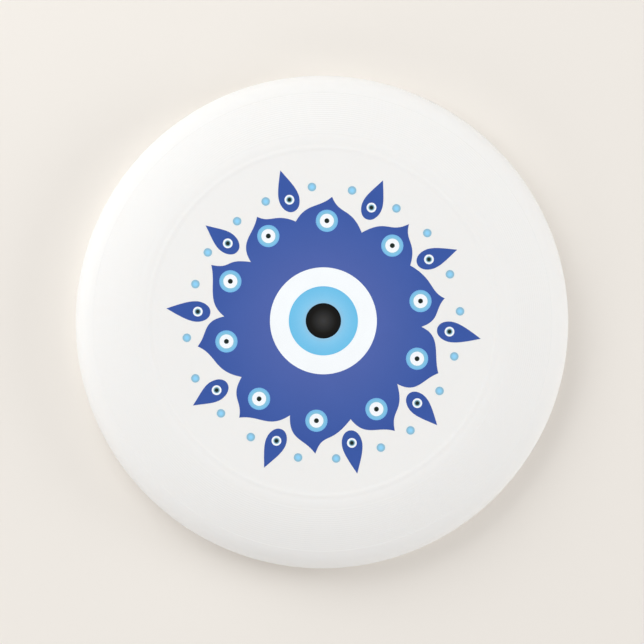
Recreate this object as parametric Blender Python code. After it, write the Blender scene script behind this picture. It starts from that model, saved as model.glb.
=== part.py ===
"""Moulded flying disc with an evil eye flower printed on its plate.

The disc is one white polyethylene moulding: a flat plate, a sloping shoulder, and a thick rim whose
flat land the disc rests on. The print is a set of separate islands of ink on top of the plate: a
ten-petal flower with a large eye in its middle and a small eye in each petal, ten teardrops between
the petals, and twenty dots around them.

Units are metres, and +Z is up. The origin is the centre of the rim's flat underside.
"""
import math

import bmesh
import bpy
from mathutils import Vector
from mathutils.geometry import interpolate_bezier

MM = 0.001

# ---------------------------------------------------------------------------
# Driving dimensions of the disc
# ---------------------------------------------------------------------------
DISC_RADIUS = 127.0 * MM
PLATE_TOP = 29.8 * MM
PLATE_THICKNESS = 1.8 * MM
LATHE_STEPS = 72

BEAD_INNER = 87.6 * MM           # the raised bead around the printed area
BEAD_CREST = 89.6 * MM
BEAD_OUTER = 91.7 * MM
BEAD_HEIGHT = 0.2 * MM

EDGE_START = 92.6 * MM           # the plate's edge rounds over just before the shoulder
EDGE_END = 96.0 * MM
EDGE_DROP = 0.36 * MM

SHOULDER_START = 96.7 * MM       # the shoulder is an arc that starts at a slight slope
SHOULDER_END = 118.0 * MM
SHOULDER_TOP = 29.42 * MM
SHOULDER_ARC_RADIUS = 74.5 * MM
SHOULDER_START_SLOPE = math.radians(8.9)
SHOULDER_THICKNESS = 1.9 * MM

NOSE_CENTRE = (109.6 * MM, 9.5 * MM)    # the rim's nose is a quarter of an ellipse
NOSE_SIZE = (17.4 * MM, 15.07 * MM)
NOSE_START_ANGLE = math.radians(60.0)

SKIRT_ARC_RADIUS = 20.8 * MM     # under the nose the rim's side draws in towards the land
SKIRT_END_ANGLE = math.radians(21.0)

LAND_OUTER = 124.8 * MM          # the flat ring that the disc stands on
LAND_INNER = 122.8 * MM
RIM_INSIDE_LOW = (122.1 * MM, 1.1 * MM)
RIM_INSIDE_HIGH = (121.4 * MM, 13.0 * MM)
COVE_START_RADIUS = 117.0 * MM   # where the underside of the shoulder turns down into the rim

# ---------------------------------------------------------------------------
# Driving dimensions of the print
# ---------------------------------------------------------------------------
INK_THICKNESS = 0.10 * MM
INK_CLEARANCE = 0.05 * MM        # between the plate and the ink
INK_GAP = 0.10 * MM              # between one island of ink and the island inside it

PRINT_CENTRE = (0.25 * MM, 0.45 * MM)    # the print sits a little off the disc's axis
MAIN_PUPIL_RADIUS = 9.1 * MM
MAIN_IRIS_RADIUS = 17.8 * MM
MAIN_WHITE_RADIUS = 27.5 * MM
PETAL_EYE_RADIUS = 5.7 * MM
PETAL_EYE_WHITE_RADIUS = 3.6 * MM
DOT_RADIUS = 2.2 * MM

MAIN_EYE_RESOLUTION = 12         # curve steps for each quarter of a circle
PETAL_EYE_RESOLUTION = 6
PETAL_EYE_WHITE_RESOLUTION = 4
DOT_RESOLUTION = 3
PETAL_SIDE_RESOLUTION = 10
TEARDROP_RESOLUTION = 6

# One row for each petal, anticlockwise from +X, in degrees and millimetres: the tip's angle and
# radius, how full the petal's clockwise and anticlockwise sides are (-1 slim to 1 full), the angle
# and radius of the valley after it, and the angle and radius of its eye. The drawing is freehand,
# so no two petals are quite alike.
PETALS = (
    (10.5, 63.5, 0.5, -0.4, 32.5, 53.0, 11.5, 51.0),
    (48.5, 66.5, -0.2, -0.2, 66.5, 49.5, 47.5, 52.5),
    (86.0, 64.0, -0.3, 0.2, 105.5, 53.0, 88.0, 51.5),
    (122.5, 63.5, -0.3, 0.7, 141.0, 48.0, 123.0, 52.0),
    (153.5, 64.5, -0.4, 0.5, 177.5, 51.0, 157.0, 52.0),
    (191.5, 66.0, 0.8, 0.0, 214.5, 51.0, 192.0, 51.0),
    (229.0, 66.0, 0.3, 0.3, 250.5, 51.5, 230.5, 52.0),
    (266.5, 68.5, 0.7, -0.8, 285.5, 52.5, 266.0, 51.5),
    (303.0, 67.5, 0.6, -0.2, 319.5, 50.0, 301.0, 53.0),
    (335.5, 65.0, 0.9, 0.8, 356.5, 50.5, 338.0, 52.0),
)

# Where the two handles of a petal's side lie, as fractions of the way from its valley to its tip,
# and how each fraction changes with the side's fullness.
VALLEY_HANDLE = (0.42, 0.76)
VALLEY_HANDLE_CHANGE = (-0.30, 0.0)
TIP_HANDLE = (0.72, 0.42)
TIP_HANDLE_CHANGE = (-0.12, 0.20)

# One row for each teardrop: the angle and radius of its round inner end, then those of its tip.
TEARDROPS = (
    (31.5, 56.5, 28.0, 78.0),
    (67.0, 56.8, 67.0, 78.5),
    (105.5, 58.2, 106.0, 80.5),
    (141.0, 56.8, 141.0, 78.0),
    (176.0, 58.3, 175.5, 81.0),
    (213.0, 59.0, 213.0, 80.0),
    (249.0, 59.8, 248.0, 81.5),
    (283.5, 58.0, 282.5, 80.5),
    (319.5, 57.8, 317.5, 79.5),
    (356.0, 58.7, 353.5, 81.5),
)
TEARDROP_HALF_WIDTH = 5.25 * MM
TEARDROP_WIDEST = 7.2 * MM       # from the round end

# The angle and radius of each dot.
DOTS = (
    (4.0, 70.5), (20.2, 69.4), (40.2, 70.0), (57.0, 69.0), (77.6, 68.7),
    (94.9, 69.1), (115.8, 68.2), (130.9, 67.8), (149.4, 69.1), (164.0, 68.5),
    (187.1, 70.8), (204.2, 72.2), (222.1, 71.0), (238.0, 70.5), (259.5, 71.5),
    (275.3, 71.1), (294.4, 71.6), (308.5, 72.0), (328.9, 69.8), (344.8, 69.8),
)

# Linear colours
WHITE_PLASTIC = (0.87, 0.86, 0.84)
PETAL_BLUE = (0.065, 0.125, 0.39)
TEARDROP_BLUE = (0.048, 0.102, 0.376)
SKY_BLUE = (0.24, 0.58, 0.86)
DOT_BLUE = (0.29, 0.62, 0.90)
INK_WHITE = (0.93, 0.95, 0.96)
INK_BLACK = (0.018, 0.020, 0.021)


# ---------------------------------------------------------------------------
# Helpers
# ---------------------------------------------------------------------------
def clear_scene():
    for old in list(bpy.data.objects):
        bpy.data.objects.remove(old, do_unlink=True)


def make_material(name, colour, roughness):
    material = bpy.data.materials.new(name)
    material.use_nodes = True
    shader = material.node_tree.nodes["Principled BSDF"]
    shader.inputs["Base Color"].default_value = (*colour, 1.0)
    shader.inputs["Roughness"].default_value = roughness
    shader.inputs["Metallic"].default_value = 0.0
    return material


def polar(degrees, millimetres):
    angle = math.radians(degrees)
    return Vector((math.cos(angle), math.sin(angle), 0.0)) * (millimetres * MM)


def between(start, end, fraction):
    return start + (end - start) * fraction


# ---------------------------------------------------------------------------
# The disc's profile, as (radius, height) points
# ---------------------------------------------------------------------------
def arc_points(centre, size, start, end, steps):
    """Points on an ellipse, from the start angle to the end angle, both measured from outwards."""
    points = []
    for step in range(steps + 1):
        angle = between(start, end, step / steps)
        radius = centre[0] + size[0] * math.cos(angle)
        height = centre[1] + size[1] * math.sin(angle)
        points.append((radius, height))
    return points


def cubic_points(start, start_handle, end_handle, end, steps):
    corners = [Vector((*corner, 0.0)) for corner in (start, start_handle, end_handle, end)]
    return [(point.x, point.y) for point in interpolate_bezier(*corners, steps + 1)]


def bead_points(steps=3):
    """The bead rises and falls as half a cosine wave on each side of its crest."""
    points = []
    for foot, sign in ((BEAD_INNER, -1.0), (BEAD_OUTER, 1.0)):
        for step in range(steps + 1):
            fraction = step / steps
            reach = fraction if sign < 0.0 else 1.0 - fraction
            radius = between(foot, BEAD_CREST, reach)
            height = BEAD_HEIGHT * (1.0 - math.cos(math.pi * reach)) / 2.0
            points.append((radius, PLATE_TOP + height))
    del points[steps + 1]        # the crest comes once
    return points


def edge_points(steps=3):
    """The plate's edge rounds over along an arc that starts level with the plate."""
    width = EDGE_END - EDGE_START
    radius = (width**2 + EDGE_DROP**2) / (2.0 * EDGE_DROP)
    centre = (EDGE_START, PLATE_TOP - radius)
    end = math.acos(width / radius)
    return arc_points(centre, (radius, radius), math.pi / 2.0, end, steps)


def shoulder_centre():
    radius = SHOULDER_START - SHOULDER_ARC_RADIUS * math.sin(SHOULDER_START_SLOPE)
    height = SHOULDER_TOP - SHOULDER_ARC_RADIUS * math.cos(SHOULDER_START_SLOPE)
    return radius, height


def shoulder_points(steps=5):
    centre = shoulder_centre()
    reach = SHOULDER_END - centre[0]
    start = math.pi / 2.0 - SHOULDER_START_SLOPE
    end = math.acos(reach / SHOULDER_ARC_RADIUS)
    size = (SHOULDER_ARC_RADIUS, SHOULDER_ARC_RADIUS)
    return arc_points(centre, size, start, end, steps)


def skirt_points(steps=3):
    centre = (DISC_RADIUS - SKIRT_ARC_RADIUS, NOSE_CENTRE[1])
    size = (SKIRT_ARC_RADIUS, SKIRT_ARC_RADIUS)
    return arc_points(centre, size, 0.0, -SKIRT_END_ANGLE, steps)


def inside_points():
    """From the land up the rim's inside, round the cove and in along the plate's underside."""
    centre = shoulder_centre()
    arc_radius = SHOULDER_ARC_RADIUS - SHOULDER_THICKNESS
    size = (arc_radius, arc_radius)
    underside = PLATE_TOP - PLATE_THICKNESS
    plate_edge_angle = math.asin((underside - centre[1]) / arc_radius)
    cove_angle = math.acos((COVE_START_RADIUS - centre[0]) / arc_radius)
    shoulder_underside = arc_points(centre, size, cove_angle, plate_edge_angle, 4)

    cove_start = shoulder_underside[0]
    handle_length = 3.6 * MM
    cove_handle = (
        cove_start[0] + handle_length * math.sin(cove_angle),
        cove_start[1] - handle_length * math.cos(cove_angle),
    )
    wall_handle = (RIM_INSIDE_HIGH[0], RIM_INSIDE_HIGH[1] + handle_length)
    cove = cubic_points(RIM_INSIDE_HIGH, wall_handle, cove_handle, cove_start, 5)

    land_corner = (LAND_INNER, 0.0)
    corner_handle = (RIM_INSIDE_LOW[0] + 0.2 * MM, 0.0)
    round_corner = cubic_points(land_corner, corner_handle, corner_handle, RIM_INSIDE_LOW, 3)
    return round_corner + cove + shoulder_underside[1:] + [(0.0, underside)]


def disc_profile():
    skirt = skirt_points()
    heel_handle = (skirt[-1][0] - 0.3 * MM, 0.3 * MM)
    heel = cubic_points(skirt[-1], heel_handle, heel_handle, (LAND_OUTER, 0.0), 3)
    points = [(0.0, PLATE_TOP)]
    points += bead_points()
    points += edge_points()
    points += shoulder_points()
    points += arc_points(NOSE_CENTRE, NOSE_SIZE, NOSE_START_ANGLE, 0.0, 8)
    points += skirt[1:]
    points += heel[1:]
    points += inside_points()
    return points


def build_disc(material):
    mesh = bpy.data.meshes.new("disc_body")
    shape = bmesh.new()
    corners = [shape.verts.new((radius, 0.0, height)) for radius, height in disc_profile()]
    for start, end in zip(corners, corners[1:]):
        shape.edges.new((start, end))
    shape.to_mesh(mesh)
    shape.free()
    mesh.materials.append(material)

    disc = bpy.data.objects.new("disc_body", mesh)
    bpy.context.collection.objects.link(disc)
    lathe = disc.modifiers.new("lathe", "SCREW")
    lathe.axis = "Z"
    lathe.angle = math.tau
    lathe.steps = LATHE_STEPS
    lathe.render_steps = LATHE_STEPS
    lathe.use_smooth_shade = True
    lathe.use_merge_vertices = True
    lathe.merge_threshold = 0.00001
    return disc


# ---------------------------------------------------------------------------
# Ink outlines
# ---------------------------------------------------------------------------
def new_ink_curve(name, material):
    """A flat filled outline, as thick as the ink."""
    curve = bpy.data.curves.new(name, "CURVE")
    curve.dimensions = "2D"
    curve.fill_mode = "BOTH"
    curve.extrude = INK_THICKNESS / 2.0
    curve.materials.append(material)
    return curve


def add_outline(curve, knots, resolution):
    """A closed outline from (point, handle before it, handle after it) knots."""
    spline = curve.splines.new("BEZIER")
    spline.bezier_points.add(len(knots) - 1)
    spline.use_cyclic_u = True
    for target, (point, before, after) in zip(spline.bezier_points, knots):
        target.handle_left_type = "FREE"
        target.handle_right_type = "FREE"
        target.co = point
        target.handle_left = before
        target.handle_right = after
    spline.resolution_u = resolution


def add_circle(curve, centre, radius, resolution):
    handle_length = radius * 4.0 / 3.0 * math.tan(math.pi / 8.0)
    knots = []
    for quarter in range(4):
        angle = quarter * math.pi / 2.0
        outward = Vector((math.cos(angle), math.sin(angle), 0.0))
        along = Vector((-math.sin(angle), math.cos(angle), 0.0))
        point = centre + outward * radius
        knots.append((point, point - along * handle_length, point + along * handle_length))
    add_outline(curve, knots, resolution)


def side_handles(valley, tip, fullness):
    """The handles of a petal's side, worked out in angle and radius from the valley to the tip."""
    handles = []
    rules = ((VALLEY_HANDLE, VALLEY_HANDLE_CHANGE), (TIP_HANDLE, TIP_HANDLE_CHANGE))
    for place, change in rules:
        angle = between(valley[0], tip[0], place[0] + change[0] * fullness)
        radius = between(valley[1], tip[1], place[1] + change[1] * fullness)
        handles.append(polar(angle, radius))
    return handles


def petal_knots():
    """Tip, valley, tip and so on around the flower, with the handles on each side of them."""
    handles_of = []
    for index, petal in enumerate(PETALS):
        tip = petal[0:2]
        valley_before = PETALS[index - 1][4:6]
        if index == 0:
            valley_before = (valley_before[0] - 360.0, valley_before[1])
        valley_after = petal[4:6]
        clockwise_side = side_handles(valley_before, tip, petal[2])
        anticlockwise_side = side_handles(valley_after, tip, petal[3])
        handles_of.append((clockwise_side, anticlockwise_side))

    knots = []
    for index, petal in enumerate(PETALS):
        clockwise_side, anticlockwise_side = handles_of[index]
        next_side = handles_of[(index + 1) % len(PETALS)][0]
        knots.append((polar(*petal[0:2]), clockwise_side[1], anticlockwise_side[1]))
        knots.append((polar(*petal[4:6]), anticlockwise_side[0], next_side[0]))
    return knots


def teardrop_knots(length):
    """A teardrop that points along +X, with its round end at the origin."""
    round_end = Vector((0.0, 0.0, 0.0))
    tip = Vector((length, 0.0, 0.0))
    left = Vector((TEARDROP_WIDEST, TEARDROP_HALF_WIDTH, 0.0))
    right = Vector((TEARDROP_WIDEST, -TEARDROP_HALF_WIDTH, 0.0))
    round_handle = Vector((0.0, 3.3 * MM, 0.0))
    inner_handle = Vector((-3.6 * MM, 0.0, 0.0))
    outer_handle = Vector((4.0 * MM, 0.0, 0.0))
    tip_left = tip + Vector((-6.4 * MM, 2.9 * MM, 0.0))
    tip_right = tip + Vector((-6.4 * MM, -2.9 * MM, 0.0))
    return [
        (round_end, round_handle, -round_handle),
        (right, right + inner_handle, right + outer_handle),
        (tip, tip_right, tip_left),
        (left, left + outer_handle, left + inner_handle),
    ]


# ---------------------------------------------------------------------------
# Ink islands
# ---------------------------------------------------------------------------
def place_ink(name, curve, print_layer, location=(0.0, 0.0, 0.0), turn=0.0):
    island = bpy.data.objects.new(name, curve)
    island.location = location
    island.rotation_euler = (0.0, 0.0, turn)
    island.parent = print_layer
    bpy.context.collection.objects.link(island)
    return island


def build_flower(print_layer, material):
    curve = new_ink_curve("print_petal_flower", material)
    add_outline(curve, petal_knots(), PETAL_SIDE_RESOLUTION)
    add_circle(curve, Vector(), MAIN_WHITE_RADIUS + INK_GAP, MAIN_EYE_RESOLUTION)
    for petal in PETALS:
        eye_centre = polar(*petal[6:8])
        add_circle(curve, eye_centre, PETAL_EYE_RADIUS + INK_GAP, PETAL_EYE_RESOLUTION)
    place_ink("print_petal_flower", curve, print_layer)


def build_main_eye(print_layer, white, sky_blue, black):
    rings = (
        ("print_eye_white", MAIN_WHITE_RADIUS, MAIN_IRIS_RADIUS, white),
        ("print_eye_iris", MAIN_IRIS_RADIUS, MAIN_PUPIL_RADIUS, sky_blue),
        ("print_eye_pupil", MAIN_PUPIL_RADIUS, None, black),
    )
    for name, radius, hole_radius, material in rings:
        curve = new_ink_curve(name, material)
        add_circle(curve, Vector(), radius, MAIN_EYE_RESOLUTION)
        if hole_radius is not None:
            add_circle(curve, Vector(), hole_radius + INK_GAP, MAIN_EYE_RESOLUTION)
        place_ink(name, curve, print_layer)


def build_petal_eyes(print_layer, white, sky_blue):
    hole_radius = PETAL_EYE_WHITE_RADIUS + INK_GAP
    ring = new_ink_curve("print_petal_eye_ring", sky_blue)
    add_circle(ring, Vector(), PETAL_EYE_RADIUS, PETAL_EYE_RESOLUTION)
    add_circle(ring, Vector(), hole_radius, PETAL_EYE_WHITE_RESOLUTION)
    centre = new_ink_curve("print_petal_eye_white", white)
    add_circle(centre, Vector(), PETAL_EYE_WHITE_RADIUS, PETAL_EYE_WHITE_RESOLUTION)
    for number, petal in enumerate(PETALS, start=1):
        location = polar(*petal[6:8])
        place_ink(f"print_petal_eye_ring_{number:02d}", ring, print_layer, location)
        place_ink(f"print_petal_eye_white_{number:02d}", centre, print_layer, location)


def build_teardrops(print_layer, material):
    for number, teardrop in enumerate(TEARDROPS, start=1):
        name = f"print_teardrop_{number:02d}"
        round_end = polar(*teardrop[0:2])
        axis = polar(*teardrop[2:4]) - round_end
        curve = new_ink_curve(name, material)
        add_outline(curve, teardrop_knots(axis.length), TEARDROP_RESOLUTION)
        turn = math.atan2(axis.y, axis.x)
        place_ink(name, curve, print_layer, round_end, turn)


def build_dots(print_layer, material):
    curve = new_ink_curve("print_dot", material)
    add_circle(curve, Vector(), DOT_RADIUS, DOT_RESOLUTION)
    for number, place in enumerate(DOTS, start=1):
        place_ink(f"print_dot_{number:02d}", curve, print_layer, polar(*place))


def main():
    clear_scene()
    plastic = make_material("white_plastic", WHITE_PLASTIC, 0.42)
    petal_blue = make_material("petal_blue_ink", PETAL_BLUE, 0.38)
    teardrop_blue = make_material("teardrop_blue_ink", TEARDROP_BLUE, 0.38)
    sky_blue = make_material("sky_blue_ink", SKY_BLUE, 0.38)
    dot_blue = make_material("dot_blue_ink", DOT_BLUE, 0.38)
    white = make_material("white_ink", INK_WHITE, 0.38)
    black = make_material("black_ink", INK_BLACK, 0.38)

    disc = build_disc(plastic)
    print_layer = bpy.data.objects.new("print_layer", None)
    print_layer.location = (*PRINT_CENTRE, PLATE_TOP + INK_CLEARANCE + INK_THICKNESS / 2.0)
    print_layer.parent = disc
    bpy.context.collection.objects.link(print_layer)

    build_flower(print_layer, petal_blue)
    build_main_eye(print_layer, white, sky_blue, black)
    build_petal_eyes(print_layer, white, sky_blue)
    build_teardrops(print_layer, teardrop_blue)
    build_dots(print_layer, dot_blue)


main()
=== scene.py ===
"""Looks of a white moulded flying disc with an evil eye flower printed on its plate.

The disc is turned again here with its fine ridges, and each island of ink is cut again as a thin film
with a smooth edge, from the outlines that the frame gives. Units are metres, and +Z is up.
"""
import math

import bmesh
import bpy
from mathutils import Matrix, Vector


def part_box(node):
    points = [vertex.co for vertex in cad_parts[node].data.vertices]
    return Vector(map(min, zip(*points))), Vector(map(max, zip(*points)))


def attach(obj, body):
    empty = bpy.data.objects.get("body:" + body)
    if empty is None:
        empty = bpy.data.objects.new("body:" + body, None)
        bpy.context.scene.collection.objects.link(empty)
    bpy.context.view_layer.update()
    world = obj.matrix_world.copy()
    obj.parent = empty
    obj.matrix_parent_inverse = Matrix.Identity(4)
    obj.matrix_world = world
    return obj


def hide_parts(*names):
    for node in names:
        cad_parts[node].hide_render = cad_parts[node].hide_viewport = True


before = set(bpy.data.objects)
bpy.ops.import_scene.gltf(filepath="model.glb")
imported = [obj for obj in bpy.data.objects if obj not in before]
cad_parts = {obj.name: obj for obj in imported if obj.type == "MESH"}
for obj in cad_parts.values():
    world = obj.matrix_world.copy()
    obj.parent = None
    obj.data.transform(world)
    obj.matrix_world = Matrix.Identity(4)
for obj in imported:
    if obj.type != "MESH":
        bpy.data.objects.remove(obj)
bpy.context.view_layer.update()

MM = 0.001

# ---------------------------------------------------------------------------
# Sizes read from the frame
# ---------------------------------------------------------------------------
DISC_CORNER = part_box("disc_body")[1]
DISC_RADIUS = DISC_CORNER.x
DISC_TOP = DISC_CORNER.z
BEAD_HEIGHT = 0.2 * MM
PLATE_TOP = DISC_TOP - BEAD_HEIGHT
PLATE_THICKNESS = 1.8 * MM
PLATE_UNDERSIDE = PLATE_TOP - PLATE_THICKNESS

# ---------------------------------------------------------------------------
# The disc's section, which follows the moulding and adds its fine detail
# ---------------------------------------------------------------------------
TURN_STEPS = 240

PLATE_RING_RADII = (45.0 * MM, 80.0 * MM, 86.5 * MM)    # they keep the flat plate's faces short
BEAD_INNER = 87.6 * MM
BEAD_CREST = 89.6 * MM
BEAD_OUTER = 91.7 * MM
BEAD_SIDE_STEPS = 9
EDGE_START = 92.6 * MM           # the plate's edge rounds over just before the shoulder
EDGE_END = 96.25 * MM
EDGE_DROP = 0.36 * MM
EDGE_STEPS = 10

SHOULDER_START = 96.7 * MM
SHOULDER_END = 117.8 * MM
SHOULDER_TOP = 29.42 * MM
SHOULDER_ARC_RADIUS = 74.5 * MM
SHOULDER_START_SLOPE = math.radians(8.9)
SHOULDER_THICKNESS = 1.9 * MM
RIDGE_COUNT = 20
RIDGE_HEIGHT = 0.04 * MM
RIDGE_STEPS = 7
LIP_CREST = 118.4 * MM           # the fine lip where the ridges end
LIP_HEIGHT = 0.08 * MM
LIP_SIDE_STEPS = 5

NOSE_CENTRE = (109.6 * MM, 9.5 * MM)
NOSE_SIZE = (17.4 * MM, 15.07 * MM)
NOSE_START = 118.9 * MM
NOSE_STEPS = 34
PARTING_LINE_HEIGHT = 0.05 * MM
PARTING_LINE_HALF_WIDTH = 0.20 * MM
SKIRT_ARC_RADIUS = 20.8 * MM
SKIRT_START_ANGLE = -0.03        # in radians, just below the parting line
SKIRT_END_ANGLE = math.radians(-21.0)
SKIRT_STEPS = 10

HEEL_ROUND = 0.3 * MM            # where the skirt turns in to the land
HEEL_STEPS = 10
LAND_OUTER = 124.8 * MM
LAND_INNER = 122.8 * MM
LAND_CORNER_ROUND = 0.2 * MM
LAND_CORNER_STEPS = 8
RIM_INSIDE_LOW = (122.1 * MM, 1.1 * MM)
RIM_INSIDE_HIGH = (121.4 * MM, 13.0 * MM)
RIM_INSIDE_STEPS = 6
COVE_START_RADIUS = 117.0 * MM
COVE_HANDLE = 3.6 * MM
COVE_STEPS = 18
SHOULDER_UNDERSIDE_STEPS = 16

UNDERSIDE_RING_RADII = (90.0 * MM, 60.0 * MM)
GATE_RING_RADIUS = 18.0 * MM
INSERT_LINE_RADIUS = 38.0 * MM   # the circle that the mould's round insert leaves underneath
INSERT_LINE_HALF_WIDTH = 0.25 * MM
INSERT_LINE_HEIGHT = 0.08 * MM
INSERT_LINE_SIDE_STEPS = 4
GATE_DISH_RADIUS = 6.0 * MM      # where the plastic entered the mould
GATE_DISH_DEPTH = 0.35 * MM
GATE_DISH_OUTER_SLOPE = 0.5 * MM
GATE_DISH_INNER_SLOPE = 0.6 * MM
GATE_STUB_RADIUS = 1.4 * MM
GATE_STUB_HEIGHT = 0.30 * MM
GATE_STUB_SLOPE = 0.3 * MM
GATE_STUB_MIDDLE_RADIUS = 0.4 * MM
GATE_STUB_MIDDLE_SHARE = 0.8     # the stub stands out a little less in its middle than at its rim
GATE_STUB_AXIS_SHARE = 0.75
GATE_STEPS = 8

# ---------------------------------------------------------------------------
# The plastic
# ---------------------------------------------------------------------------
PLASTIC_DARKER_WHITE = (0.860, 0.853, 0.840)
PLASTIC_LIGHTER_WHITE = (0.882, 0.876, 0.864)
PLASTIC_CLOUD_SCALE = 9.0
PLASTIC_SPECK_COLOUR = (0.74, 0.72, 0.69)
PLASTIC_SPECK_SCALE = 900.0
PLASTIC_SPECK_RANGE = (0.74, 0.80)       # only the noise's highest values make a speck
PLASTIC_SPECK_STRENGTH = 0.10
PLASTIC_HANDLING_SCALE = 24.0
PLASTIC_HANDLING_RANGE = (0.25, 0.75)
PLASTIC_ROUGHNESS_RANGE = (0.54, 0.68)
PLASTIC_PEEL_SCALE = 650.0
PLASTIC_PEEL_DEPTH = 0.006 * MM
PLASTIC_PEEL_STRENGTH = 0.55
PLASTIC_SWELL_SCALE = 38.0
PLASTIC_SWELL_DEPTH = 0.10 * MM
PLASTIC_SWELL_STRENGTH = 0.35
PLASTIC_IOR = 1.51
PLASTIC_SPECULAR_LEVEL = 0.35
PLASTIC_SCATTER_WEIGHT = 0.25
PLASTIC_SCATTER_RADIUS = (1.0, 0.92, 0.85)
PLASTIC_SCATTER_SCALE = 0.0008

# ---------------------------------------------------------------------------
# The ink
# ---------------------------------------------------------------------------
INK_LIFT = 0.008 * MM            # from the plate to the underside of the ink
INK_THICKNESS = 0.030 * MM
INK_GAP = 0.015 * MM
PETAL_PUPIL_RADIUS = 1.25 * MM
TEARDROP_EYE_FROM_ROUND_END = 6.5 * MM
TEARDROP_EYE_RADIUS = 2.5 * MM
TEARDROP_IRIS_RADIUS = 1.6 * MM
TEARDROP_PUPIL_RADIUS = 0.95 * MM
PETAL_COUNT = 10
TEARDROP_COUNT = 10
DOT_COUNT = 20

CORNER_TURN = math.radians(35.0)
OUTLINE_STEPS = 5
OUTLINE_KEY_SIZE = 0.001 * MM    # outline points closer together than this are one point
EYE_WHITE_STEPS = 256
EYE_IRIS_STEPS = 192
EYE_PUPIL_STEPS = 128
PETAL_EYE_STEPS = 96
TEARDROP_EYE_STEPS = 64
DOT_STEPS = 72

INK_GRAIN_SCALE = 2600.0
INK_GRAIN_SHADES = (0.975, 1.025)
INK_GRAIN_DEPTH = 0.004 * MM
INK_GRAIN_STRENGTH = 0.5
INK_COVER_SCALE = 55.0
INK_COVER_SHADES = (0.985, 1.015)
INK_ROUGHNESS_RANGE = (0.50, 0.60)
INK_SPECULAR_LEVEL = 0.08
INK_NOISE_RANGE = (0.3, 0.7)     # nearly all of a noise's values lie in this range


# ---------------------------------------------------------------------------
# Colour
# ---------------------------------------------------------------------------
def linear(red, green, blue):
    """Linear light from ordinary 0 to 255 screen colour."""
    channels = []
    for value in (red, green, blue):
        share = value / 255.0
        if share <= 0.04045:
            channels.append(share / 12.92)
        else:
            channels.append(((share + 0.055) / 1.055) ** 2.4)
    return tuple(channels)


class Nodes:
    """A material's node tree, filled with short calls."""

    def __init__(self, name):
        self.material = bpy.data.materials.new(name)
        self.material.use_nodes = True
        self.tree = self.material.node_tree
        self.shader = self.tree.nodes["Principled BSDF"]

    def add(self, kind, inputs=None, **settings):
        node = self.tree.nodes.new(kind)
        for setting, value in settings.items():
            setattr(node, setting, value)
        for socket, value in (inputs or {}).items():
            self.feed(node.inputs[socket], value)
        return node

    def feed(self, socket, value):
        if isinstance(value, bpy.types.NodeSocket):
            self.tree.links.new(value, socket)
        else:
            socket.default_value = value

    def place(self):
        return self.add("ShaderNodeTexCoord").outputs["Object"]

    def math(self, operation, first, second):
        return self.add("ShaderNodeMath", {0: first, 1: second}, operation=operation).outputs[0]

    def noise(self, vector, scale, detail, roughness=0.5):
        inputs = {"Vector": vector, "Scale": scale, "Detail": detail, "Roughness": roughness}
        return self.add("ShaderNodeTexNoise", inputs).outputs["Fac"]

    def span(self, value, low, high, to_low, to_high):
        inputs = {"Value": value, "From Min": low, "From Max": high, "To Min": to_low, "To Max": to_high}
        return self.add("ShaderNodeMapRange", inputs).outputs["Result"]

    def ramp(self, value, stops):
        node = self.add("ShaderNodeValToRGB", {"Fac": value})
        elements = node.color_ramp.elements
        while len(elements) < len(stops):
            elements.new(1.0)
        for element, (position, colour) in zip(elements, stops):
            element.position = position
            element.color = (*colour, 1.0)
        return node.outputs["Color"]

    def blend(self, factor, first, second):
        """A mix of two colours: the Mix node has its colours at inputs 6 and 7 and at output 2."""
        node = self.add("ShaderNodeMix", data_type="RGBA")
        for socket, value in ((0, factor), (6, first), (7, second)):
            if isinstance(value, tuple) and len(value) == 3:
                value = (*value, 1.0)
            self.feed(node.inputs[socket], value)
        return node.outputs[2]

    def bump(self, height, distance, strength, normal=None):
        inputs = {"Height": height, "Distance": distance, "Strength": strength}
        if normal is not None:
            inputs["Normal"] = normal
        return self.add("ShaderNodeBump", inputs).outputs["Normal"]


def radius_of(nodes):
    """The distance from the piece's own axis."""
    flat = nodes.add("ShaderNodeVectorMath", {0: nodes.place(), 1: (1.0, 1.0, 0.0)}, operation="MULTIPLY")
    length = nodes.add("ShaderNodeVectorMath", {0: flat.outputs["Vector"]}, operation="LENGTH")
    return length.outputs["Value"]


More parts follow.
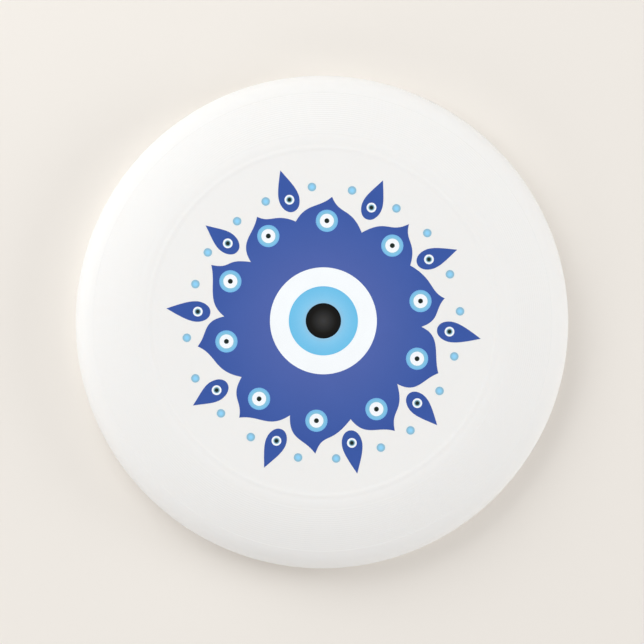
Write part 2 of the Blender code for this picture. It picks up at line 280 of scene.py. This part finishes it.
def plastic_material():
    """Satin white polyethylene: a little light goes in and comes out again beside where it went in."""
    nodes = Nodes("white_polyethylene")
    place = nodes.place()
    shader = nodes.shader
    clouds = nodes.noise(place, PLASTIC_CLOUD_SCALE, 3.0)
    base = nodes.blend(clouds, PLASTIC_DARKER_WHITE, PLASTIC_LIGHTER_WHITE)
    specks = nodes.noise(place, PLASTIC_SPECK_SCALE, 1.0)
    speck_share = nodes.span(specks, *PLASTIC_SPECK_RANGE, 0.0, PLASTIC_SPECK_STRENGTH)
    colour = nodes.blend(speck_share, base, PLASTIC_SPECK_COLOUR)
    nodes.feed(shader.inputs["Base Color"], colour)

    handling = nodes.noise(place, PLASTIC_HANDLING_SCALE, 5.0, 0.62)
    roughness = nodes.span(handling, *PLASTIC_HANDLING_RANGE, *PLASTIC_ROUGHNESS_RANGE)
    nodes.feed(shader.inputs["Roughness"], roughness)

    peel = nodes.noise(place, PLASTIC_PEEL_SCALE, 2.0, 0.45)
    swell = nodes.noise(place, PLASTIC_SWELL_SCALE, 1.0)
    fine = nodes.bump(peel, PLASTIC_PEEL_DEPTH, PLASTIC_PEEL_STRENGTH)
    surface = nodes.bump(swell, PLASTIC_SWELL_DEPTH, PLASTIC_SWELL_STRENGTH, fine)
    nodes.feed(shader.inputs["Normal"], surface)

    shader.inputs["IOR"].default_value = PLASTIC_IOR
    shader.inputs["Specular IOR Level"].default_value = PLASTIC_SPECULAR_LEVEL
    shader.inputs["Subsurface Weight"].default_value = PLASTIC_SCATTER_WEIGHT
    shader.inputs["Subsurface Radius"].default_value = PLASTIC_SCATTER_RADIUS
    shader.inputs["Subsurface Scale"].default_value = PLASTIC_SCATTER_SCALE
    return nodes.material


def ink_material(name, reach, stops):
    """Printed ink whose colour runs outwards from the piece's own axis, over the given reach."""
    nodes = Nodes(name)
    place = nodes.place()
    shader = nodes.shader
    outward = nodes.math("DIVIDE", radius_of(nodes), reach)
    colour = nodes.ramp(outward, stops)
    grain = nodes.noise(place, INK_GRAIN_SCALE, 1.0)
    cover = nodes.noise(place, INK_COVER_SCALE, 3.0)
    grain_shade = nodes.span(grain, *INK_NOISE_RANGE, *INK_GRAIN_SHADES)
    cover_shade = nodes.span(cover, *INK_NOISE_RANGE, *INK_COVER_SHADES)
    shade = nodes.math("MULTIPLY", grain_shade, cover_shade)
    tinted = nodes.add("ShaderNodeVectorMath", {0: colour, "Scale": shade}, operation="SCALE")
    nodes.feed(shader.inputs["Base Color"], tinted.outputs["Vector"])
    roughness = nodes.span(cover, *INK_NOISE_RANGE, *INK_ROUGHNESS_RANGE)
    nodes.feed(shader.inputs["Roughness"], roughness)
    nodes.feed(shader.inputs["Normal"], nodes.bump(grain, INK_GRAIN_DEPTH, INK_GRAIN_STRENGTH))
    shader.inputs["Specular IOR Level"].default_value = INK_SPECULAR_LEVEL
    return nodes.material


# ---------------------------------------------------------------------------
# The disc
# ---------------------------------------------------------------------------
def between(start, end, fraction):
    return start + (end - start) * fraction


def between_points(start, end, fraction):
    return between(start[0], end[0], fraction), between(start[1], end[1], fraction)


def arc(centre, size, start, end, steps):
    """Points on an ellipse, from the start angle to the end angle, both measured from outwards."""
    points = []
    for step in range(steps + 1):
        angle = between(start, end, step / steps)
        radius = centre[0] + size[0] * math.cos(angle)
        height = centre[1] + size[1] * math.sin(angle)
        points.append((radius, height))
    return points


def cubic(start, start_handle, end_handle, end, steps):
    """Points on a cubic curve from start to end, drawn towards its two handles."""
    points = []
    for step in range(steps + 1):
        after = step / steps
        before = 1.0 - after
        weights = (before**3, 3 * before**2 * after, 3 * before * after**2, after**3)
        corners = (start, start_handle, end_handle, end)
        radius = sum(weight * corner[0] for weight, corner in zip(weights, corners))
        height = sum(weight * corner[1] for weight, corner in zip(weights, corners))
        points.append((radius, height))
    return points


def swelling(inner, crest, outer, base, rise, steps):
    """A rounded ridge, or a groove where rise is negative, from inner to outer radius."""
    points = []
    for foot, far, forwards in ((inner, crest, True), (crest, outer, False)):
        for step in range(steps):
            fraction = step / steps
            share = fraction if forwards else 1.0 - fraction
            height = base + rise * (1.0 - math.cos(math.pi * share)) / 2.0
            points.append((between(foot, far, fraction), height))
    points.append((outer, base))
    return points


def shoulder_centre():
    radius = SHOULDER_START - SHOULDER_ARC_RADIUS * math.sin(SHOULDER_START_SLOPE)
    height = SHOULDER_TOP - SHOULDER_ARC_RADIUS * math.cos(SHOULDER_START_SLOPE)
    return radius, height


def rounded_edge():
    """The plate's edge, along an arc that starts level with the plate."""
    width = EDGE_END - EDGE_START
    radius = (width**2 + EDGE_DROP**2) / (2.0 * EDGE_DROP)
    centre = (EDGE_START, PLATE_TOP - radius)
    return arc(centre, (radius, radius), math.pi / 2.0, math.acos(width / radius), EDGE_STEPS)


def ridged_shoulder():
    """The shoulder's arc with its ridges, whose crests are round and whose valleys are narrow."""
    centre = shoulder_centre()
    start = math.pi / 2.0 - SHOULDER_START_SLOPE
    end = math.acos((SHOULDER_END - centre[0]) / SHOULDER_ARC_RADIUS)
    steps = RIDGE_COUNT * RIDGE_STEPS
    points = []
    for step in range(steps + 1):
        fraction = step / steps
        angle = between(start, end, fraction)
        wave = abs(math.sin(math.pi * RIDGE_COUNT * fraction))
        radius = SHOULDER_ARC_RADIUS - RIDGE_HEIGHT + RIDGE_HEIGHT * wave
        points.append((centre[0] + radius * math.cos(angle), centre[1] + radius * math.sin(angle)))
    return points


def lip(start, end):
    """The fine lip from the last ridge to the nose, raised off the straight line between them."""
    points = []
    for foot, other, forwards in ((start, end, True), (end, start, False)):
        reach = (LIP_CREST - foot[0]) / (other[0] - foot[0])
        side = []
        for step in range(1, LIP_SIDE_STEPS):
            fraction = step / LIP_SIDE_STEPS
            radius, height = between_points(foot, other, reach * fraction)
            side.append((radius, height + LIP_HEIGHT * (1.0 - math.cos(math.pi * fraction)) / 2.0))
        points += side if forwards else side[::-1]
        if forwards:
            radius, height = between_points(foot, other, reach)
            points.append((radius, height + LIP_HEIGHT))
    return points


def nose():
    """The rim's nose, with the faint line where the mould's halves met at its widest."""
    start = math.acos((NOSE_START - NOSE_CENTRE[0]) / NOSE_SIZE[0])
    points = arc(NOSE_CENTRE, NOSE_SIZE, start, 0.0, NOSE_STEPS)
    line_low = NOSE_CENTRE[1] - PARTING_LINE_HALF_WIDTH
    line_high = NOSE_CENTRE[1] + PARTING_LINE_HALF_WIDTH
    kept = [point for point in points if point[1] > line_high]
    side = DISC_RADIUS - PARTING_LINE_HEIGHT
    kept = [(min(radius, side), height) for radius, height in kept]
    kept.append((side, line_high))
    kept.append((DISC_RADIUS, NOSE_CENTRE[1] + PARTING_LINE_HALF_WIDTH / 2.0))
    kept.append((DISC_RADIUS, NOSE_CENTRE[1] - PARTING_LINE_HALF_WIDTH / 2.0))
    kept.append((side, line_low))
    return kept


def skirt_and_heel():
    """The rim's side below the parting line, which draws in, and the round heel down to the land."""
    centre = (DISC_RADIUS - SKIRT_ARC_RADIUS, NOSE_CENTRE[1])
    size = (SKIRT_ARC_RADIUS, SKIRT_ARC_RADIUS)
    skirt = arc(centre, size, SKIRT_START_ANGLE, SKIRT_END_ANGLE, SKIRT_STEPS)
    side = DISC_RADIUS - PARTING_LINE_HEIGHT
    skirt = [(min(radius, side), height) for radius, height in skirt]
    heel_handle = (skirt[-1][0] - HEEL_ROUND, HEEL_ROUND)
    heel = cubic(skirt[-1], heel_handle, heel_handle, (LAND_OUTER, 0.0), HEEL_STEPS)
    return skirt + heel[1:]


def inside():
    """From the land up the rim's inside, round the cove and in along the plate's underside."""
    centre = shoulder_centre()
    arc_radius = SHOULDER_ARC_RADIUS - SHOULDER_THICKNESS
    size = (arc_radius, arc_radius)
    plate_edge_angle = math.asin((PLATE_UNDERSIDE - centre[1]) / arc_radius)
    cove_angle = math.acos((COVE_START_RADIUS - centre[0]) / arc_radius)
    shoulder_underside = arc(centre, size, cove_angle, plate_edge_angle, SHOULDER_UNDERSIDE_STEPS)
    cove_start = shoulder_underside[0]
    cove_handle = (
        cove_start[0] + COVE_HANDLE * math.sin(cove_angle),
        cove_start[1] - COVE_HANDLE * math.cos(cove_angle),
    )
    wall_handle = (RIM_INSIDE_HIGH[0], RIM_INSIDE_HIGH[1] + COVE_HANDLE)
    cove = cubic(RIM_INSIDE_HIGH, wall_handle, cove_handle, cove_start, COVE_STEPS)
    wall = []
    for step in range(1, RIM_INSIDE_STEPS):
        wall.append(between_points(RIM_INSIDE_LOW, RIM_INSIDE_HIGH, step / RIM_INSIDE_STEPS))
    corner_handle = (RIM_INSIDE_LOW[0] + LAND_CORNER_ROUND, 0.0)
    corner = cubic((LAND_INNER, 0.0), corner_handle, corner_handle, RIM_INSIDE_LOW, LAND_CORNER_STEPS)
    return corner + wall + cove + shoulder_underside[1:]


def underside_middle():
    """The insert's circle, and the dish with the stub of the gate, in towards the axis."""
    line_outer = INSERT_LINE_RADIUS + INSERT_LINE_HALF_WIDTH
    line_inner = INSERT_LINE_RADIUS - INSERT_LINE_HALF_WIDTH
    points = [(radius, PLATE_UNDERSIDE) for radius in UNDERSIDE_RING_RADII]
    points += swelling(
        line_outer,
        INSERT_LINE_RADIUS,
        line_inner,
        PLATE_UNDERSIDE,
        -INSERT_LINE_HEIGHT,
        INSERT_LINE_SIDE_STEPS,
    )
    floor = PLATE_UNDERSIDE + GATE_DISH_DEPTH
    points.append((GATE_RING_RADIUS, PLATE_UNDERSIDE))
    points += cubic(
        (GATE_DISH_RADIUS + GATE_DISH_OUTER_SLOPE, PLATE_UNDERSIDE),
        (GATE_DISH_RADIUS, PLATE_UNDERSIDE),
        (GATE_DISH_RADIUS, floor),
        (GATE_DISH_RADIUS - GATE_DISH_INNER_SLOPE, floor),
        GATE_STEPS,
    )
    points += cubic(
        (GATE_STUB_RADIUS + GATE_STUB_SLOPE, floor),
        (GATE_STUB_RADIUS, floor),
        (GATE_STUB_RADIUS, floor - GATE_STUB_HEIGHT),
        (GATE_STUB_RADIUS - GATE_STUB_SLOPE, floor - GATE_STUB_HEIGHT),
        GATE_STEPS,
    )
    points.append((GATE_STUB_MIDDLE_RADIUS, floor - GATE_STUB_HEIGHT * GATE_STUB_MIDDLE_SHARE))
    points.append((0.0, floor - GATE_STUB_HEIGHT * GATE_STUB_AXIS_SHARE))
    return points


def disc_section():
    """The closed section, from the axis out over the top, round the rim and back in underneath."""
    points = [(radius, PLATE_TOP) for radius in (0.0, *PLATE_RING_RADII)]
    points += swelling(BEAD_INNER, BEAD_CREST, BEAD_OUTER, PLATE_TOP, BEAD_HEIGHT, BEAD_SIDE_STEPS)
    points += rounded_edge()
    shoulder = ridged_shoulder()
    rim_nose = nose()
    points += shoulder + lip(shoulder[-1], rim_nose[0]) + rim_nose
    points += skirt_and_heel()
    points.append((between(LAND_OUTER, LAND_INNER, 0.5), 0.0))
    points += inside()
    points += underside_middle()
    return points


def turned_mesh(name, section, steps):
    """A closed mesh turned from a section that runs from the axis out, down and back to the axis."""
    mesh = bpy.data.meshes.new(name)
    rings = section[1:-1]
    top, bottom = 0, 1
    vertices = [(0.0, 0.0, section[0][1]), (0.0, 0.0, section[-1][1])]
    first = len(vertices)
    for radius, height in rings:
        for step in range(steps):
            angle = math.tau * step / steps
            vertices.append((radius * math.cos(angle), radius * math.sin(angle), height))
    faces = []
    last = first + (len(rings) - 1) * steps
    for step in range(steps):
        after = (step + 1) % steps
        faces.append((top, first + step, first + after))
        faces.append((bottom, last + after, last + step))
        for ring in range(len(rings) - 1):
            here = first + ring * steps
            there = here + steps
            faces.append((here + step, there + step, there + after, here + after))
    mesh.from_pydata(vertices, [], faces)
    mesh.shade_smooth()
    return mesh


def add_piece(name, mesh, material, slot, *replaced):
    piece = bpy.data.objects.new(name, mesh)
    bpy.context.scene.collection.objects.link(piece)
    mesh.materials.append(material)
    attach(piece, "root")
    if replaced:
        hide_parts(*replaced)
    return piece


def make_disc():
    mesh = turned_mesh("disc_moulding", disc_section(), TURN_STEPS)
    add_piece("disc_moulding", mesh, plastic_material(), "white_plastic", "disc_body")


# ---------------------------------------------------------------------------
# Outlines of the ink, from the frame
# ---------------------------------------------------------------------------
def centre_of(node):
    low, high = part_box(node)
    return Vector(((low.x + high.x) / 2.0, (low.y + high.y) / 2.0, 0.0))


def radius_of_node(node):
    low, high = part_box(node)
    return (high.x - low.x) / 2.0


def outlines_of(node):
    """The closed outlines of a film's top face, the longest first."""
    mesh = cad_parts[node].data
    top = max(vertex.co.z for vertex in mesh.vertices)
    near = OUTLINE_KEY_SIZE
    places = {}
    key_of = {}
    for vertex in mesh.vertices:
        if vertex.co.z > top - near:
            key = (round(vertex.co.x / near), round(vertex.co.y / near))
            places[key] = Vector((vertex.co.x, vertex.co.y, 0.0))
            key_of[vertex.index] = key
    uses = {}
    for polygon in mesh.polygons:
        if all(index in key_of for index in polygon.vertices):
            keys = [key_of[index] for index in polygon.vertices]
            for start, end in zip(keys, keys[1:] + keys[:1]):
                edge = frozenset((start, end))
                uses[edge] = uses.get(edge, 0) + 1
    neighbours = {}
    for edge, count in uses.items():
        if count == 1:
            start, end = edge
            neighbours.setdefault(start, []).append(end)
            neighbours.setdefault(end, []).append(start)
    loops = []
    left = dict.fromkeys(sorted(neighbours))
    while left:
        first = next(iter(left))
        loop = [first]
        del left[first]
        while True:
            following = [key for key in sorted(neighbours[loop[-1]]) if key in left]
            if not following:
                break
            loop.append(following[0])
            del left[following[0]]
        loops.append([places[key] for key in loop])
    return sorted(loops, key=loop_length, reverse=True)


def loop_length(points):
    return sum((end - start).length for start, end in zip(points, points[1:] + points[:1]))


def smoothed(points):
    """A finer outline through the same points, smooth except at its real corners."""
    count = len(points)
    slopes = []
    for index in range(count):
        arriving = points[index] - points[index - 1]
        leaving = points[(index + 1) % count] - points[index]
        is_corner = arriving.angle(leaving) > CORNER_TURN
        slopes.append(None if is_corner else (arriving + leaving) / 2.0)
    finer = []
    for index in range(count):
        start = points[index]
        end = points[(index + 1) % count]
        start_slope = slopes[index]
        end_slope = slopes[(index + 1) % count]
        if start_slope is None and end_slope is None:
            start_slope = end_slope = end - start
        elif start_slope is None:
            start_slope = (end - start) * 2.0 - end_slope
        elif end_slope is None:
            end_slope = (end - start) * 2.0 - start_slope
        for step in range(OUTLINE_STEPS):
            after = step / OUTLINE_STEPS
            squared = after * after
            cubed = squared * after
            point = start * (2 * cubed - 3 * squared + 1) + end * (3 * squared - 2 * cubed)
            point += start_slope * (cubed - 2 * squared + after) + end_slope * (cubed - squared)
            finer.append(point)
    return finer


def circle(radius, steps, centre):
    points = []
    for step in range(steps):
        angle = math.tau * step / steps
        points.append(centre + Vector((math.cos(angle), math.sin(angle), 0.0)) * radius)
    return points


def film_mesh(name, loops):
    """A closed film of ink inside the first outline, with a hole at each of the others."""
    shape = bmesh.new()
    edges = []
    for loop in loops:
        corners = [shape.verts.new(point) for point in loop]
        for start, end in zip(corners, corners[1:] + corners[:1]):
            edges.append(shape.edges.new((start, end)))
    bmesh.ops.triangle_fill(shape, use_beauty=True, edges=edges)
    grown = bmesh.ops.extrude_face_region(shape, geom=list(shape.faces), use_keep_orig=True)
    raised = [item for item in grown["geom"] if isinstance(item, bmesh.types.BMVert)]
    bmesh.ops.translate(shape, verts=raised, vec=(0.0, 0.0, INK_THICKNESS))
    bmesh.ops.recalc_face_normals(shape, faces=list(shape.faces))
    mesh = bpy.data.meshes.new(name)
    shape.to_mesh(mesh)
    shape.free()
    return mesh


def add_film(name, loops, centre, material, slot, *replaced):
    """A film whose own origin is at its centre, so that its colour can run outwards from there."""
    own_loops = [[point - centre for point in loop] for loop in loops]
    piece = add_piece(name, film_mesh(name, own_loops), material, slot, *replaced)
    piece.location = centre + Vector((0.0, 0.0, PLATE_TOP + INK_LIFT))
    return piece


# ---------------------------------------------------------------------------
# The islands of ink
# ---------------------------------------------------------------------------
PETAL_BLUES = (
    (0.00, linear(80, 101, 172)),
    (0.44, linear(79, 100, 171)),
    (0.60, linear(73, 97, 169)),
    (0.78, linear(66, 93, 167)),
    (1.00, linear(57, 85, 161)),
)
PETAL_BLUE_REACH = 68.0 * MM
TEARDROP_BLUES = ((0.0, linear(58, 88, 163)), (1.0, linear(60, 89, 165)))
TEARDROP_BLUE_REACH = 12.0 * MM
MAIN_PUPIL_BLACKS = (
    (0.00, linear(58, 59, 61)),
    (0.25, linear(51, 50, 49)),
    (0.41, linear(42, 42, 43)),
    (0.58, linear(33, 33, 32)),
    (0.72, linear(24, 22, 20)),
    (1.00, linear(14, 17, 19)),
)
MAIN_IRIS_BLUES = (
    (0.52, linear(144, 198, 231)),
    (0.64, linear(130, 200, 237)),
    (0.80, linear(120, 196, 236)),
    (1.00, linear(109, 193, 234)),
)
PETAL_RING_BLUES = (
    (0.63, linear(137, 198, 224)),
    (0.77, linear(130, 195, 226)),
    (0.88, linear(126, 191, 235)),
    (1.00, linear(114, 182, 228)),
)
TEARDROP_IRIS_BLUES = (
    (0.60, linear(84, 122, 132)),
    (0.80, linear(120, 166, 184)),
    (1.00, linear(160, 205, 222)),
)
DOT_BLUES = (
    (0.00, linear(147, 214, 250)),
    (0.30, linear(146, 211, 247)),
    (0.55, linear(143, 201, 233)),
    (0.80, linear(140, 188, 213)),
    (1.00, linear(146, 192, 213)),
)
MAIN_WHITES = ((0.0, linear(246, 250, 253)), (1.0, linear(246, 250, 253)))
SMALL_WHITES = ((0.0, linear(245, 249, 254)), (1.0, linear(245, 249, 254)))
SMALL_BLACKS = ((0.0, linear(26, 40, 35)), (1.0, linear(36, 49, 46)))


def make_flower():
    centre = centre_of("print_eye_white")
    outline = smoothed(outlines_of("print_petal_flower")[0])
    loops = [outline, circle(radius_of_node("print_eye_white") + INK_GAP, EYE_WHITE_STEPS, centre)]
    for number in range(1, PETAL_COUNT + 1):
        ring = f"print_petal_eye_ring_{number:02d}"
        loops.append(circle(radius_of_node(ring) + INK_GAP, PETAL_EYE_STEPS, centre_of(ring)))
    material = ink_material("petal_blue_ink", PETAL_BLUE_REACH, PETAL_BLUES)
    add_film("ink_petal_flower", loops, centre, material, "petal_blue_ink", "print_petal_flower")


def make_main_eye():
    white = radius_of_node("print_eye_white")
    iris = radius_of_node("print_eye_iris")
    pupil = radius_of_node("print_eye_pupil")
    rings = (
        ("white", white, iris, EYE_WHITE_STEPS, MAIN_WHITES, "white_ink"),
        ("iris", iris, pupil, EYE_IRIS_STEPS, MAIN_IRIS_BLUES, "sky_blue_ink"),
        ("pupil", pupil, None, EYE_PUPIL_STEPS, MAIN_PUPIL_BLACKS, "black_ink"),
    )
    centre = centre_of("print_eye_white")
    for part, radius, hole, steps, stops, slot in rings:
        loops = [circle(radius, steps, centre)]
        if hole is not None:
            loops.append(circle(hole + INK_GAP, steps, centre))
        material = ink_material(f"main_{part}_ink", radius, stops)
        add_film(f"ink_eye_{part}", loops, centre, material, slot, f"print_eye_{part}")


def make_petal_eyes():
    ring_radius = radius_of_node("print_petal_eye_ring_01")
    white_radius = radius_of_node("print_petal_eye_white_01")
    ring_ink = ink_material("petal_ring_ink", ring_radius, PETAL_RING_BLUES)
    white_ink = ink_material("petal_white_ink", white_radius, SMALL_WHITES)
    black_ink = ink_material("petal_pupil_ink", PETAL_PUPIL_RADIUS, SMALL_BLACKS)
    for number in range(1, PETAL_COUNT + 1):
        ring = f"print_petal_eye_ring_{number:02d}"
        white = f"print_petal_eye_white_{number:02d}"
        centre = centre_of(ring)
        films = (
            ("ring", ring_radius, white_radius, ring_ink, "sky_blue_ink", (ring,)),
            ("white", white_radius, PETAL_PUPIL_RADIUS, white_ink, "white_ink", (white,)),
            ("pupil", PETAL_PUPIL_RADIUS, None, black_ink, "black_ink", ()),
        )
        add_nested_films(f"ink_petal_eye_{number:02d}", films, centre, PETAL_EYE_STEPS)


def add_nested_films(name, films, centre, steps):
    """Round films inside one another, each given as its part, radius, hole, ink, slot and nodes."""
    for part, radius, hole, material, slot, replaced in films:
        loops = [circle(radius, steps, centre)]
        if hole is not None:
            loops.append(circle(hole + INK_GAP, steps, centre))
        add_film(f"{name}_{part}", loops, centre, material, slot, *replaced)


def make_teardrops():
    blue_ink = ink_material("teardrop_blue_ink", TEARDROP_BLUE_REACH, TEARDROP_BLUES)
    white_ink = ink_material("teardrop_white_ink", TEARDROP_EYE_RADIUS, SMALL_WHITES)
    iris_ink = ink_material("teardrop_iris_ink", TEARDROP_IRIS_RADIUS, TEARDROP_IRIS_BLUES)
    black_ink = ink_material("teardrop_pupil_ink", TEARDROP_PUPIL_RADIUS, SMALL_BLACKS)
    for number in range(1, TEARDROP_COUNT + 1):
        node = f"print_teardrop_{number:02d}"
        outline = smoothed(outlines_of(node)[0])
        tip = max(outline, key=lambda point: point.length)
        round_end = max(outline, key=lambda point: (point - tip).length)
        axis = (tip - round_end).normalized()
        centre = round_end + axis * TEARDROP_EYE_FROM_ROUND_END
        loops = [outline, circle(TEARDROP_EYE_RADIUS + INK_GAP, TEARDROP_EYE_STEPS, centre)]
        name = f"ink_teardrop_{number:02d}"
        add_film(name, loops, centre, blue_ink, "teardrop_blue_ink", node)
        films = (
            ("white", TEARDROP_EYE_RADIUS, TEARDROP_IRIS_RADIUS, white_ink, "white_ink", ()),
            ("iris", TEARDROP_IRIS_RADIUS, TEARDROP_PUPIL_RADIUS, iris_ink, "sky_blue_ink", ()),
            ("pupil", TEARDROP_PUPIL_RADIUS, None, black_ink, "black_ink", ()),
        )
        add_nested_films(name, films, centre, TEARDROP_EYE_STEPS)


def make_dots():
    radius = radius_of_node("print_dot_01")
    material = ink_material("dot_blue_ink", radius, DOT_BLUES)
    for number in range(1, DOT_COUNT + 1):
        node = f"print_dot_{number:02d}"
        centre = centre_of(node)
        loops = [circle(radius, DOT_STEPS, centre)]
        add_film(f"ink_dot_{number:02d}", loops, centre, material, "dot_blue_ink", node)


# ---------------------------------------------------------------------------
# The studio
# ---------------------------------------------------------------------------
FLOOR_SIZE = 6.0
FLOOR_DARKER_COLOUR = (0.836, 0.797, 0.748)
FLOOR_LIGHTER_COLOUR = (0.857, 0.817, 0.767)
FLOOR_CLOUD_SCALE = 3.0
FLOOR_ROUGHNESS = 0.85
FLOOR_SPECULAR_LEVEL = 0.1
CAMERA_LENS = 1000.0
CAMERA_SENSOR = 36.0
CAMERA_CLIP_START = 0.1
CAMERA_LEAN_LEFT = math.radians(1.31)
CAMERA_LEAN_DOWN = math.radians(0.44)
DISC_SHARE_OF_VIEW = 0.765
HALF_VIEW = DISC_RADIUS / DISC_SHARE_OF_VIEW    # half the view's width, at the disc's widest
LIGHT_DISTANCE = 1.6
LIGHTS = (                              # name, bearing anticlockwise from +X, elevation, size, power
    ("key_low", 135.0, 35.0, 1.6, 14.8),
    ("key_high", 120.0, 50.0, 1.6, 4.9),
    ("right", 0.0, 20.0, 0.8, 8.4),
    ("lower_left", 225.0, 20.0, 0.8, 4.7),
    ("lower_right", 315.0, 20.0, 0.8, 2.8),
)
LIGHT_COLOUR = (0.970, 0.994, 1.0)
WORLD_COLOUR = (1.0, 0.968, 0.952, 1.0)
WORLD_STRENGTH = 0.473


def floor_material():
    nodes = Nodes("studio_floor")
    place = nodes.place()
    clouds = nodes.noise(place, FLOOR_CLOUD_SCALE, 4.0)
    colour = nodes.blend(clouds, FLOOR_DARKER_COLOUR, FLOOR_LIGHTER_COLOUR)
    nodes.feed(nodes.shader.inputs["Base Color"], colour)
    nodes.shader.inputs["Roughness"].default_value = FLOOR_ROUGHNESS
    nodes.shader.inputs["Specular IOR Level"].default_value = FLOOR_SPECULAR_LEVEL
    return nodes.material


def make_floor():
    half = FLOOR_SIZE / 2.0
    mesh = bpy.data.meshes.new("studio_floor")
    corners = [(-half, -half, 0.0), (half, -half, 0.0), (half, half, 0.0), (-half, half, 0.0)]
    mesh.from_pydata(corners, [], [(0, 1, 2, 3)])
    mesh.materials.append(floor_material())
    floor = bpy.data.objects.new("studio_floor", mesh)
    bpy.context.scene.collection.objects.link(floor)


def add_soft_light(name, bearing, elevation, size, power):
    """A square soft light that points at the disc."""
    data = bpy.data.lights.new(name, "AREA")
    data.shape = "SQUARE"
    data.size = size
    data.energy = power
    data.color = LIGHT_COLOUR
    light = bpy.data.objects.new(name, data)
    turn = math.radians(bearing)
    tilt = math.radians(elevation)
    outward = Vector((math.cos(turn) * math.cos(tilt), math.sin(turn) * math.cos(tilt), math.sin(tilt)))
    light.location = outward * LIGHT_DISTANCE
    light.rotation_euler = outward.to_track_quat("Z", "Y").to_euler()
    light.visible_camera = False
    bpy.context.scene.collection.objects.link(light)


def make_studio():
    world = bpy.data.worlds.new("studio")
    world.use_nodes = True
    background = world.node_tree.nodes["Background"]
    background.inputs["Color"].default_value = WORLD_COLOUR
    background.inputs["Strength"].default_value = WORLD_STRENGTH
    bpy.context.scene.world = world
    for name, bearing, elevation, size, power in LIGHTS:
        add_soft_light(name, bearing, elevation, size, power)
    view = bpy.context.scene.view_settings
    view.view_transform = "Standard"
    view.look = "None"


def make_camera():
    data = bpy.data.cameras.new("camera")
    data.lens = CAMERA_LENS
    data.sensor_width = CAMERA_SENSOR
    camera = bpy.data.objects.new("camera", data)
    distance = HALF_VIEW / (CAMERA_SENSOR / 2.0 / CAMERA_LENS)
    camera.rotation_euler = (CAMERA_LEAN_DOWN, -CAMERA_LEAN_LEFT, 0.0)
    backwards = camera.rotation_euler.to_matrix() @ Vector((0.0, 0.0, 1.0))
    camera.location = Vector((0.0, 0.0, NOSE_CENTRE[1])) + backwards * distance
    data.clip_start = CAMERA_CLIP_START
    data.clip_end = distance * 2.0
    bpy.context.scene.collection.objects.link(camera)
    bpy.context.scene.camera = camera


make_disc()
make_flower()
make_main_eye()
make_petal_eyes()
make_teardrops()
make_dots()
make_floor()
make_studio()
make_camera()
